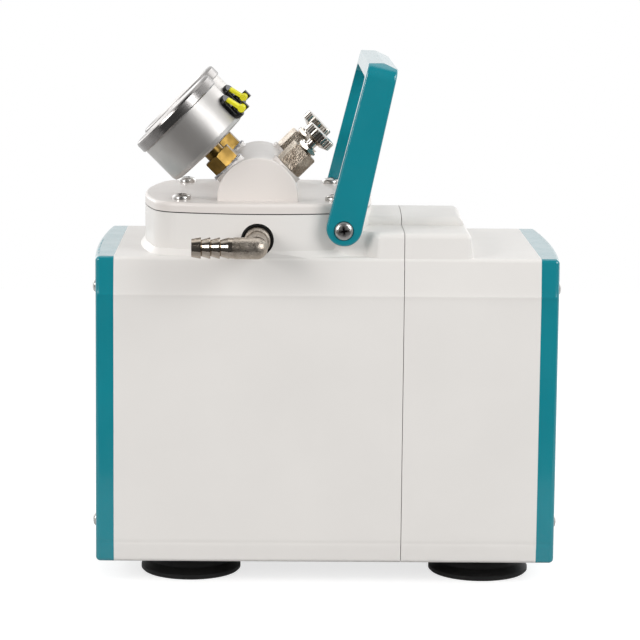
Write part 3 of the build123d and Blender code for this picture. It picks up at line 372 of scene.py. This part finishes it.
with edited(joint_shade_strip, crosses_an_end, "EDGE"):
    bpy.ops.mesh.bevel(offset=shade_strip_corner, segments=4)
turn_outward(joint_shade_strip)
applied(joint_shade_strip, "SOLIDIFY", thickness=shade_strip_depth, offset=-1.0)
# The strip's grey is the white coat as it looks in shade: painted shade in the joint.
dress(baked_coat("seam_painted_shade", tint(206, 205, 202), tint(190, 189, 186), 0.5, 0.0), joint_shade_strip)
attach(joint_shade_strip, "pump")


# ---------------------------------------------------------------- end panels
# Bowed covers at both ends, sprayed teal in the same baked coat and held by
# four cross-head screws each.

teal_coat = baked_coat("teal_coat", tint(6, 132, 145), tint(3, 125, 138), 0.22, 0.75, 0.000006)
dress(teal_coat, "left_end_panel", "right_end_panel")


# ---------------------------------------------------------------- pump head cover
# A cast cover with a half-round ridge that takes the gauges and valves. Its
# coat is a shade warmer than the housing's, and four screws hold it down over
# a rubber gasket.

cover_coat = baked_coat("cover_coat", tint(226, 220, 215), tint(221, 215, 210), 0.34, 0.12)
dress(cover_coat, "head_cover")


# ---------------------------------------------------------------- screws
# Cross-head pan screws of bright zinc-plated steel, cold-headed, with a fine
# grain in the plating and painted shade in the recess, whose faces take a dark material.

def metal(name, full, shade, gloss, spread=0.08, grain=0.0006, depth=0.000003):
    """Plated or machined metal: tone and gloss drift in clouds with a fine grain on top."""
    material, wire, shader = finish_named(name, Metallic=1.0)
    fine = noise(wire, grain, 3.0, 0.6)
    clouds = noise(wire, 0.006, 3.0, 0.55).noise_span()
    feed(shader, {"Base Color": mixed(clouds, full, shade),
                  "Roughness": (fine * 0.5 + clouds * 0.5).noise_span(gloss - spread / 2, gloss + spread / 2),
                  "Normal": relief(fine, depth)})
    return material


screw_zinc = metal("screw_zinc", tint(206, 204, 201), tint(182, 180, 177), 0.30, 0.10, 0.0004, 0.000004)
# Dark metal for the walls and floor of each cross recess: painted shade.
recess_painted_shade = metal("recess_painted_shade", tint(52, 50, 48), tint(30, 29, 28), 0.5, 0.1, 0.0004, 0.000004)


def grow(move, shrink=1.0):
    """Extrudes the chosen faces by a move, then narrows them about their own middle."""
    bpy.ops.mesh.extrude_region_move(TRANSFORM_OT_translate={"value": move})
    bpy.ops.transform.resize(value=(shrink, shrink, 1))


def joined(name, pieces):
    """These pieces as one."""
    bpy.ops.object.select_all(action="DESELECT")
    for piece in pieces:
        piece.select_set(True)
    bpy.context.view_layer.objects.active = pieces[0]
    if len(pieces) > 1:
        bpy.ops.object.join()
    pieces[0].name = pieces[0].data.name = name
    return pieces[0]


def copies(piece, places):
    """The piece at each place, each copy at the origin with its own mesh."""
    made = []
    for place in places:
        copy = piece.copy()
        copy.data = piece.data.copy()
        copy.data.transform(place)
        studio.collection.objects.link(copy)
        made.append(copy)
    bpy.data.objects.remove(piece)
    return made


crown_steps = ((0.22, 0.95), (0.18, 0.86), (0.12, 0.76), (0.08, 0.55))   # share of rise, narrowing


def pan_head_screw(radius, height, shank, length):
    """Cross-recess screw pointing up, seated at the origin."""
    rim = height * 0.4
    screw = added("cylinder", "screw", vertices=48, radius=radius, depth=rim, location=(0, 0, rim / 2))
    with edited(screw, lambda face: face.normal.z > 0.9):
        for rise, shrink in crown_steps:
            grow((0, 0, height * rise), shrink)
    with edited(screw, lambda face: face.normal.z < -0.9):
        bpy.ops.mesh.inset(thickness=radius - shank)
        grow((0, 0, -length))
    half, arm, depth, taper = radius * 0.12, radius * 0.60, height * 0.62, 0.45     # of the recess
    cutter = added("cube", "recess", size=1)
    cutter.data.transform(Matrix.Translation((0, 0, height * 1.02 - depth / 2))
                          @ Matrix.Diagonal((half * 2, half * 2, depth, 1)))
    for turn in range(4):
        ahead = Vector((math.cos(turn * math.pi / 2), math.sin(turn * math.pi / 2), 0))
        aside = ahead.cross(Vector((0, 0, 1)))
        with edited(cutter, lambda face: face.normal.dot(ahead) > 0.9
                    and abs(face.center.dot(aside)) < half * 0.2):
            bpy.ops.mesh.extrude_region_move(TRANSFORM_OT_translate={"value": ahead * (arm - half)})
    with edited(cutter, lambda point: point.co.z < height * 0.5, "VERT"):
        bpy.ops.transform.resize(value=(taper, taper, 1), center_override=(0, 0, 0))
    applied(screw, "BOOLEAN", operation="DIFFERENCE", object=cutter, solver="EXACT")
    bpy.data.objects.remove(cutter)
    screw.data.materials.append(screw_zinc)
    screw.data.materials.append(recess_painted_shade)
    # Faces inside the cross recess take the dark material: painted shade in the recess.
    for face in screw.data.polygons:
        within_arms = math.hypot(face.center.x, face.center.y) < arm
        under_crown = height * 0.38 < face.center.z < height * 0.90
        level_or_steep = face.normal.z > 0.99 or abs(face.normal.z) < 0.6
        face.material_index = int(within_arms and under_crown and level_or_steep)
    turn_outward(screw)
    bpy.ops.object.select_all(action="DESELECT")
    screw.select_set(True)
    bpy.ops.object.shade_smooth_by_angle(angle=math.radians(32))
    return screw


def pointing(direction, place, twist=0.0):
    """Stands a piece that points up at a place, along a direction."""
    turn = Vector((0, 0, 1)).rotation_difference(Vector(direction)).to_matrix().to_4x4()
    return Matrix.Translation(place) @ turn @ Matrix.Rotation(twist, 4, "Z")


screw_length = 0.007


def screw_set(node, radius, height, shank, places):
    """Screws in place of a node's plain ones. A place is (direction, seat, twist), and
    each screw stopped at its own twist when it was driven home."""
    screw = pan_head_screw(radius, height, shank, screw_length)
    made = joined(node + "_turned", copies(screw, [pointing(*place) for place in places]))
    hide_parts(node)
    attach(made, "pump")


head, rise = 0.0045, 0.0028                     # radius and height of a head
low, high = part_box("head_cover_screws")
screw_set("head_cover_screws", head, rise, 0.0020, [
    ((0, 0, 1), (x, y, high.z - rise), 0.3 + 9 * abs(x + y))
    for x in (low.x + head, high.x - head) for y in (low.y + head, high.y - head)])
rise = 0.0027
low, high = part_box("handle_screws")
screw_set("handle_screws", head, rise, 0.0025, [
    ((0, side, 0), ((low.x + high.x) / 2, edge - side * rise, (low.z + high.z) / 2), 0.12)
    for side, edge in ((-1, low.y), (1, high.y))])
head, rise = 0.0035, 0.0024
low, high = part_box("end_panel_screws")
screw_set("end_panel_screws", head, rise, 0.0020, [
    ((side, 0, 0), (edge - side * rise, y, z), 0.5 + 20 * z)
    for side, edge in ((-1, low.x), (1, high.x))
    for y in (low.y + head, high.y - head) for z in (low.z + head, high.z - head)])
dress(screw_zinc, "foot_screws")


# ---------------------------------------------------------------- gasket, seals and feet
# Black rubber: a sheet gasket under the cover, a ring round each port, the
# diaphragm, and four moulded feet with a wide lip.

def rubber(name, full, shade, gloss, grain=0.0005, depth=0.000012):
    """Moulded rubber, plastic or paint: not metal, with a fine grain and faint dust."""
    material, wire, shader = finish_named(name, Specular_IOR_Level=0.35)
    fine = noise(wire, grain, 3.0, 0.6)
    dust = noise(wire, 0.015, 4.0, 0.6).span(0.45, 0.75)
    feed(shader, {"Base Color": mixed(dust, full, shade),
                  "Roughness": fine.noise_span(gloss - 0.07, gloss + 0.07),
                  "Normal": relief(fine, depth)})
    return material


black_rubber = rubber("black_rubber", tint(5, 5, 5), tint(11, 11, 10), 0.6)
dress(black_rubber, "head_gasket", "port_seals", "rubber_feet", "diaphragm")


# ---------------------------------------------------------------- hose elbows
# Brass forgings, nickel-plated: the block keeps the grain of its forging, and
# the barbs are turned smooth.

def forged_nickel(name, smooth_from, smooth_to, full, shade):
    """Plated metal, grainy from the forging, and smooth where X is past smooth_to."""
    material, wire, shader = finish_named(name, Metallic=1.0)
    turned = along(own_place(wire), "X").span(smooth_from, smooth_to)
    fine = noise(wire, 0.0007, 2.0, 0.6)
    clouds = noise(wire, 0.004, 3.0).noise_span()
    grainy_gloss = (1 - turned) * fine.noise_span(0.24, 0.40)
    feed(shader, {"Base Color": mixed(clouds, full, shade),
                  "Roughness": grainy_gloss + turned * clouds * 0.06 + turned * 0.09,
                  "Normal": relief(fine * (1 - turned), 0.00022)})
    return material


barbs_end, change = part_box("inlet_elbow")[0].x + 0.0195, 0.0004
elbow_nickel = forged_nickel("elbow_nickel", barbs_end + change, barbs_end - change,
                             tint(196, 186, 174), tint(168, 157, 144))
dress(elbow_nickel, "inlet_elbow", "outlet_elbow")


# ---------------------------------------------------------------- needle valves
# Nickel-plated valves: a hexagon body with forged flats, a packing nut, and a
# spindle that carries a knob with a fluted rim.

nowhere = (10.0, 11.0)                          # metres along X, far outside the pump
valve_nickel = forged_nickel("valve_nickel", *nowhere, tint(196, 186, 172), tint(140, 127, 112))
turned_nickel = metal("turned_nickel", tint(214, 208, 200), tint(190, 183, 174), 0.13, 0.08, 0.0004, 0.000002)
for side in ("front", "rear"):
    dress(valve_nickel, side + "_valve_body")
    dress(turned_nickel, side + "_gland_nut", side + "_valve_spindle", side + "_valve_knob")


# ---------------------------------------------------------------- gauges
# Vacuum and pressure gauge: a pressed steel cup with a satin finish, a rolled
# and polished bezel over a flat glass, a printed dial, and a brass stem with a
# hexagon.

def turned_about(name, joint, full, shade, gloss, spread, depth):
    """Metal finished on a lathe: fine rings round the axis of that joint."""
    rings_scale, streaks_scale = 2600, 25       # to the metre
    material, wire, shader = finish_named(name, Metallic=1.0)
    axis = Vector(joint["axis"]).normalized()
    turn = axis.rotation_difference(Vector((0, 0, 1))).to_matrix()
    at = wire.node("ShaderNodeMapping", {}, {"Vector": own_place(wire), "Rotation": turn.to_euler(),
                                             "Location": -(turn @ Vector(joint["pos_m"]))})
    across, aside, depthwise = (along(at, axis_name) for axis_name in "XYZ")
    flat = wire.node("ShaderNodeCombineXYZ", {}, {"X": across, "Y": aside})
    radius = wire.node("ShaderNodeVectorMath", {"operation": "LENGTH"}, {0: flat}, "Value")
    rings = noise(wire, 1.0, 2.0, 0.7, wire.node(
        "ShaderNodeCombineXYZ", {}, {"X": radius * rings_scale, "Y": depthwise * rings_scale,
                                     "Z": across * streaks_scale}))
    clouds = noise(wire, 0.012, 3.0).noise_span()
    feed(shader, {"Base Color": mixed(clouds, full, shade),
                  "Roughness": (rings * 0.6 + clouds * 0.4).noise_span(gloss - spread / 2, gloss + spread / 2),
                  "Normal": relief(rings, depth)})
    return material


by_name = {joint["name"]: joint for joint in frame["joints"]}
brass = metal("turned_brass", tint(130, 104, 54), tint(98, 77, 38), 0.31, 0.08, 0.0005, 0.000003)
dial_paper, wire, shader = finish_named("dial_enamel", Roughness=0.45)
feed(shader, {"Base Color": mixed(noise(wire, 0.01, 2.0), tint(242, 242, 239), tint(236, 236, 232))})
glass, wire, shader = finish_named("gauge_glass", Transmission_Weight=1.0, IOR=1.45)
feed(shader, {"Roughness": noise(wire, 0.01, 3.0).span(0.4, 0.7, 0.0, 0.03)})
pointer_black = rubber("pointer_black", tint(16, 16, 16), tint(24, 24, 24), 0.4)

for side in ("front", "rear"):
    joint = by_name[side + "_gauge_reading"]
    case_steel = turned_about(side + "_case_steel", joint, tint(203, 200, 197), tint(193, 190, 187),
                              gloss=0.46, spread=0.05, depth=0.0000004)
    bezel_steel = turned_about(side + "_bezel_steel", joint, tint(162, 159, 157), tint(136, 133, 131),
                               gloss=0.25, spread=0.12, depth=0.0000030)
    for material, part in ((case_steel, "case"), (bezel_steel, "bezel"), (brass, "stem"),
                           (dial_paper, "dial"), (glass, "lens"), (pointer_black, "pointer")):
        dress(material, side + "_gauge_" + part)

ink, wire, shader = finish_named("dial_ink")
feed(shader, {"Base Color": mixed(noise(wire, 0.0006, 2.0), tint(14, 14, 15), tint(30, 30, 31)),
              "Roughness": noise(wire, 0.0006, 2.0).noise_span(0.35, 0.55)})

dial_start, dial_sweep = math.radians(225), math.radians(270)
arc_radius, arc_width, arc_steps = 0.0185, 0.0003, 90
tick_length, tick_width = 0.0012, 0.00014
long_tick_inward, long_tick_stretch, long_tick_widening = 0.0009, 2.3, 1.9
figure_radius, figure_height = 0.0128, 0.0034
ink_depth, ink_behind_pivot = 0.00004, 0.00010


def dial_arc():
    """The thin line that the divisions hang from, spun from a sliver at the dial's start."""
    sliver = 0.00002
    arc = added("cube", "arc", size=1)
    arc.data.transform(Matrix.Translation((arc_radius, 0, 0))
                       @ Matrix.Diagonal((arc_width, sliver, ink_depth, 1)))
    arc.data.transform(Matrix.Rotation(dial_start, 4, "Z"))
    ahead = Vector((-math.sin(dial_start), math.cos(dial_start), 0))
    with edited(arc, lambda face: face.normal.dot(ahead) < 0):
        bpy.ops.mesh.spin(steps=arc_steps, angle=dial_sweep, center=(0, 0, 0), axis=(0, 0, -1))
    return arc


def dial_figure(figure, turn):
    """A number on the dial, upright, at a turn."""
    bpy.ops.object.select_all(action="DESELECT")
    bpy.ops.object.text_add()
    words = bpy.context.object
    words.data.body, words.data.size, words.data.extrude = figure, figure_height, ink_depth / 2
    words.data.align_x, words.data.align_y = "CENTER", "CENTER"
    bpy.ops.object.convert(target="MESH")
    x, y = figure_radius * math.cos(turn), figure_radius * math.sin(turn)
    words.data.transform(Matrix.Translation((x, y, 0)))
    return words


def dial_print(name, joint, divisions, figures):
    """Arc, divisions and figures over three quarters of a turn, printed on the dial."""
    marks = [dial_arc()]
    tick = added("cube", "tick", size=1)
    tick.data.transform(Matrix.Translation((arc_radius - tick_length / 2, 0, 0))
                        @ Matrix.Diagonal((tick_length, tick_width, ink_depth, 1)))
    long_tick = tick.copy()
    long_tick.data = tick.data.copy()
    studio.collection.objects.link(long_tick)
    long_tick.data.transform(Matrix.Translation((arc_radius - long_tick_inward, 0, 0))
                             @ Matrix.Diagonal((long_tick_stretch, long_tick_widening, 1, 1))
                             @ Matrix.Translation((-arc_radius, 0, 0)))
    turns = [dial_start - dial_sweep * place / divisions for place in range(divisions + 1)]
    long_turns = turns[::10]
    marks += copies(tick, [Matrix.Rotation(turn, 4, "Z") for turn in turns if turn not in long_turns])
    marks += copies(long_tick, [Matrix.Rotation(turn, 4, "Z") for turn in long_turns])
    marks += [dial_figure(figure, turn) for figure, turn in zip(figures, long_turns)]
    outward = -Vector(joint["axis"]).normalized()
    right = Vector((0, -1, 0))
    face = Matrix((right, outward.cross(right), outward)).transposed().to_4x4()
    face.translation = Vector(joint["pos_m"]) - outward * ink_behind_pivot
    made = joined(name, marks)
    made.data.transform(face)
    dress(ink, made)
    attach(made, "pump")


dial_print("front_dial_print", by_name["front_gauge_reading"], 50,
           ("0", "-0.02", "-0.04", "-0.06", "-0.08", "-0.1"))
dial_print("rear_dial_print", by_name["rear_gauge_reading"], 40, ("0", "0.1", "0.2", "0.3", "0.4"))


# ---------------------------------------------------------------- thread tape and washers
# White sealing tape wound on each gauge's thread. Its ragged edge squeezes out
# from under the hexagon, over a soft white washer.

tape_white, wire, shader = finish_named("tape_white", Specular_IOR_Level=0.3)
threads = noise(wire, 0.0003, 3.0, 0.7)
feed(shader, {"Base Color": mixed(threads, tint(244, 245, 248), tint(222, 225, 232)),
              "Roughness": threads.noise_span(0.45, 0.65), "Normal": relief(threads, 0.00004)})

pivot_height, hexagon_height = 0.0530, 0.0209   # along the gauge from its port
tape_points, tape_bore, tape_reach, tape_lift = 60, 0.0050, 0.0078, 0.0003
fray_reach, fray_lift, fray_droop = 0.0008, 0.0005, -1.4
frays = (0.5, 1.3, 0.2, 0.0, 1.9, 0.8, 0.1, 0.6, 1.5, 0.3, 0.0, 1.0, 0.4, 0.2, 1.7, 0.7, 0.1, 1.1, 0.3, 0.9)
for side in ("front", "rear"):
    joint = by_name[side + "_gauge_reading"]
    outward = -Vector(joint["axis"]).normalized()
    seat = Vector(joint["pos_m"]) - outward * (pivot_height - hexagon_height)
    tape = added("cylinder", side + "_thread_tape", vertices=tape_points, radius=0.0062, depth=0.0005,
                 end_fill_type="NOTHING", location=(0, 0, 0.0002))
    for point in tape.data.vertices:
        turn = math.atan2(point.co.y, point.co.x)
        fray = frays[round(turn / (2 * math.pi) * tape_points) * 7 % len(frays)]
        reach, lift = tape_bore, 0.0
        if point.co.z > 0:
            reach = tape_reach + fray * fray_reach
            lift = fray * fray_lift * (1 if fray < 1.2 else fray_droop)
        point.co = Vector((math.cos(turn) * reach, math.sin(turn) * reach, tape_lift + lift))
    applied(tape, "SOLIDIFY", thickness=0.00012, offset=0.0)
    tape.data.transform(pointing(outward, seat))
    dress(tape_white, tape)
    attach(tape, "pump")

dress(rubber("seal_white", tint(240, 240, 240), tint(226, 228, 232), 0.5), "fitting_washers")


# ---------------------------------------------------------------- vent plugs
# Black rubber filling plugs on the gauges, each with a small yellow lever that
# opens its vent.

plug_rubber = rubber("plug_rubber", tint(7, 7, 8), tint(12, 12, 13), 0.22, 0.0003, 0.000003)
lever_yellow = rubber("lever_yellow", tint(232, 226, 44), tint(224, 216, 36), 0.36, 0.0003, 0.000002)
dress(plug_rubber, "front_vent_plug", "rear_vent_plug")
dress(lever_yellow, "front_vent_lever", "rear_vent_lever")


# ---------------------------------------------------------------- carrying handle
# A U-shaped handle over the head, sprayed teal in the end panels' coat. It
# swings on a screw at each side and stands where their friction holds it.

dress(teal_coat, "handle")


# ---------------------------------------------------------------- working parts
# Inside the head and the housing, seen through the vents: cast aluminium,
# ground steel, laminated cores, varnished coils, a moulded fan and the run
# capacitor in its can.

cast_alloy = metal("cast_alloy", tint(182, 183, 185), tint(158, 159, 161), 0.42, 0.12, 0.0012, 0.00003)
ground_steel = metal("ground_steel", tint(176, 176, 178), tint(150, 150, 152), 0.22, 0.08)
spring_steel = metal("spring_steel", tint(150, 156, 168), tint(120, 124, 136), 0.2, 0.08)
dress(cast_alloy, "valve_plate", "diaphragm_clamp", "connecting_rod", "motor_end_bells")
dress(ground_steel, "big_end_bearing", "eccentric", "motor_shaft", "shaft_bearings")
dress(spring_steel, "reed_valves")

core_sheet = 0.0005
laminated, wire, shader = finish_named("laminated_steel", Metallic=0.8)
sheets = (along(own_place(wire), "X") * (2 * math.pi / core_sheet)).then("SINE")
feed(shader, {"Base Color": mixed(noise(wire, 0.008, 3.0), tint(92, 94, 98), tint(66, 66, 68)),
              "Roughness": noise(wire, 0.003, 2.0).noise_span(0.38, 0.55),
              "Normal": relief(sheets, 0.00006)})
dress(laminated, "rotor_core", "stator_core")

coil, wire, shader = finish_named("varnished_coil", Coat_Weight=0.4)
strands = wire.node("ShaderNodeTexWave", {"bands_direction": "X"},
                    {"Vector": own_place(wire), "Scale": 220.0, "Distortion": 2.5,
                     "Detail": 2.0, "Detail Scale": 1.5}, "Fac")
feed(shader, {"Base Color": mixed(strands, tint(94, 40, 20), tint(186, 98, 52)),
              "Roughness": strands.span(0, 1, 0.5, 0.3), "Normal": relief(strands, 0.0004)})
dress(coil, "stator_windings")

moulded_black = rubber("moulded_black", tint(24, 24, 25), tint(32, 32, 33), 0.36, 0.0007, 0.000015)
dress(moulded_black, "cooling_fan")
dress(rubber("can_grey", tint(206, 206, 202), tint(190, 190, 186), 0.4), "run_capacitor")


# ---------------------------------------------------------------- mains inlet
# A black moulded inlet with three flat plated pins in its socket, clipped into
# the motor end's panel.

socket_depth, pin_half_width, pin_half_height = 0.0168, 0.00103, 0.00203
pin_spacing, pin_stagger = 0.007, 0.002
inlet_black, wire, shader = finish_named("inlet_black")
place, across, height = (along(own_place(wire), axis) for axis in "XYZ")
low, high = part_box("power_inlet")
middle_y, middle_z = (low.y + high.y) / 2, (low.z + high.z) / 2


def within(value, middle, half):
    """1 where the value lies within half of middle."""
    return (value - middle).then("ABSOLUTE").then("LESS_THAN", half)


outer_pins = (within((across - middle_y).then("ABSOLUTE"), pin_spacing, pin_half_width)
              * within(height, middle_z - pin_stagger, pin_half_height))
earth_pin = (within(across, middle_y, pin_half_width)
             * within(height, middle_z + pin_stagger, pin_half_height))
pins = (outer_pins + earth_pin).then("MINIMUM", 1.0) * place.then("GREATER_THAN", high.x - socket_depth)
fine = noise(wire, 0.0007, 3.0, 0.6)
feed(shader, {"Base Color": mixed(pins, mixed(fine, tint(24, 24, 25), tint(32, 32, 33)), tint(206, 198, 180)),
              "Metallic": pins, "Roughness": fine.noise_span(0.30, 0.42) - pins * 0.12,
              "Normal": relief(fine * (1 - pins), 0.000015)})
dress(inlet_black, "power_inlet")


# ---------------------------------------------------------------- power switch
# A red rocker on two pins in a black moulded frame, with I and O printed white
# on the two halves of its face.

dress(moulded_black, "switch_frame")
dress(rubber("rocker_red", tint(176, 24, 20), tint(160, 20, 17), 0.26, 0.002, 0.000004), "switch_rocker")

rocker_half, rocker_front, rocker_tilt = 0.0082, 0.0025, math.radians(8)
mark_proud = 0.00003
bar = added("cube", "bar", size=1)
bar.data.transform(Matrix.Diagonal((0.0006, 0.0030, 0.00012, 1)))
applied(bar, "BEVEL", width=0.00005, segments=2)
ring = added("torus", "ring", major_radius=0.0015, minor_radius=0.0003, major_segments=40, minor_segments=8)
ring.data.transform(Matrix.Diagonal((0.9, 1.15, 0.25, 1)))
switch = by_name["power_switch"]
at_rest = Matrix.Translation(switch["pos_m"]) @ Matrix.Rotation(-rocker_tilt, 4, "Y")
facing_out = Matrix(((0, 0, 1, 0), (1, 0, 0, 0), (0, 1, 0, 0), (0, 0, 0, 1)))
for mark, half in ((bar, 1), (ring, -1)):
    face = Matrix.Translation((rocker_front + rocker_half / 2 * math.tan(rocker_tilt) + mark_proud,
                               0, half * rocker_half / 2))
    lean = Matrix.Rotation(half * rocker_tilt, 4, "Y")
    mark.data.transform(at_rest @ face @ lean @ facing_out)
marks = joined("rocker_marks", [bar, ring])
dress(rubber("mark_white", tint(238, 238, 236), tint(220, 220, 216), 0.4, 0.0004, 0.000004), marks)
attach(marks, "rocker")


# ---------------------------------------------------------------- sizes
# The box of the dressed pump, found after dressing; the box of the solids
# was found before it.

low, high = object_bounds()
